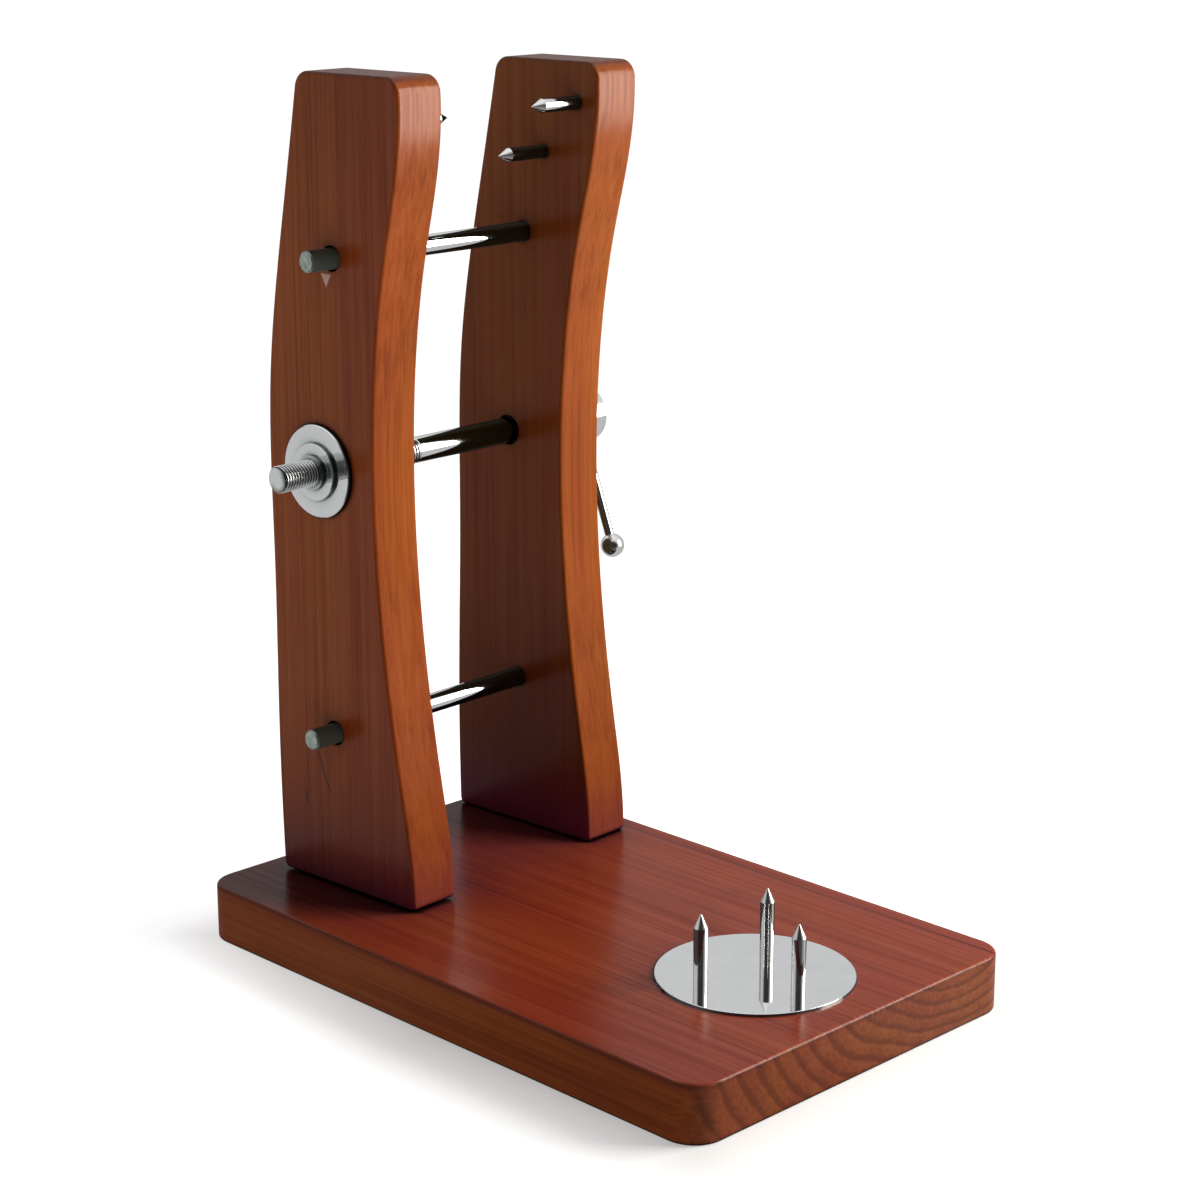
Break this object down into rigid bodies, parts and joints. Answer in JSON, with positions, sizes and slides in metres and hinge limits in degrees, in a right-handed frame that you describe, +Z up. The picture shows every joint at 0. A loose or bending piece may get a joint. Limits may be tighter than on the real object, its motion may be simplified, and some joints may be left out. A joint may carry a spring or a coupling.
{
  "type": "vertical ham stand",
  "caption": "Upright wooden ham stand: a spiked round plate on a board, and two bowed uprights that a screw clamp closes on the shank.",
  "frame": {"origin": "centre of the base board's underside", "axes": "+Z up; -Y is the front, where the spiked round plate is; +X runs from the sliding left upright towards the fixed right upright. The clamp is turned 3 degrees about +Z on the base, so the rods and the spindle run 3 degrees from +X towards +Y"},
  "size_m": [0.2754, 0.4, 0.507],
  "materials": {
    "red_mahogany": "reddish mahogany stain under a semi-gloss lacquer",
    "chrome_rod": "bright chrome plate",
    "polished_clamp": "polished plate",
    "tommy_chrome": "bright chrome plate",
    "mirror_plate": "mirror polished stainless steel",
    "steel_spike": "polished stainless steel with a turned point",
    "zinc_fastener": "zinc-plated steel"
  },
  "bodies": {
    "stand": {"base_board": "red_mahogany", "right_upright": "red_mahogany", "upper_guide_rod": "chrome_rod", "lower_guide_rod": "chrome_rod", "right_washer": "polished_clamp", "right_upper_spike": "steel_spike", "right_lower_spike": "steel_spike", "spike_disc": "mirror_plate", "base_spike_front": "steel_spike", "base_spike_left": "steel_spike", "base_spike_right": "steel_spike", "spike_washers": "zinc_fastener", "spike_nuts": "zinc_fastener", "upright_screws": "zinc_fastener"},
    "left_jaw": {"left_upright": "red_mahogany", "left_washer": "polished_clamp", "clamp_nut": "polished_clamp", "left_upper_spike": "steel_spike", "left_lower_spike": "steel_spike"},
    "spindle": {"clamp_spindle": "chrome_rod", "spindle_head": "polished_clamp"},
    "tommy": {"tommy_bar": "tommy_chrome", "lower_ball": "tommy_chrome", "upper_ball": "tommy_chrome"}
  },
  "joints": [
    {"name": "spindle_turn", "type": "hinge", "parent": "stand", "child": "spindle", "pos_m": [-0.00083, 0.14578, 0.2843], "axis": [-0.9986, -0.0523, 0], "range_deg": [-2700, 7200]},
    {"name": "jaw_slide", "type": "slide", "parent": "stand", "child": "left_jaw", "axis": [0.9986, 0.0523, 0], "range_m": [-0.015, 0.04]},
    {"name": "tommy_slide", "type": "slide", "parent": "spindle", "child": "tommy", "axis": [-0.0183, 0.3497, 0.9367], "range_m": [0, 0.0593]}
  ],
  "couplings": [
    {"joint": "jaw_slide", "follows": "spindle_turn", "m_per_rad": 0.00031831}
  ]
}
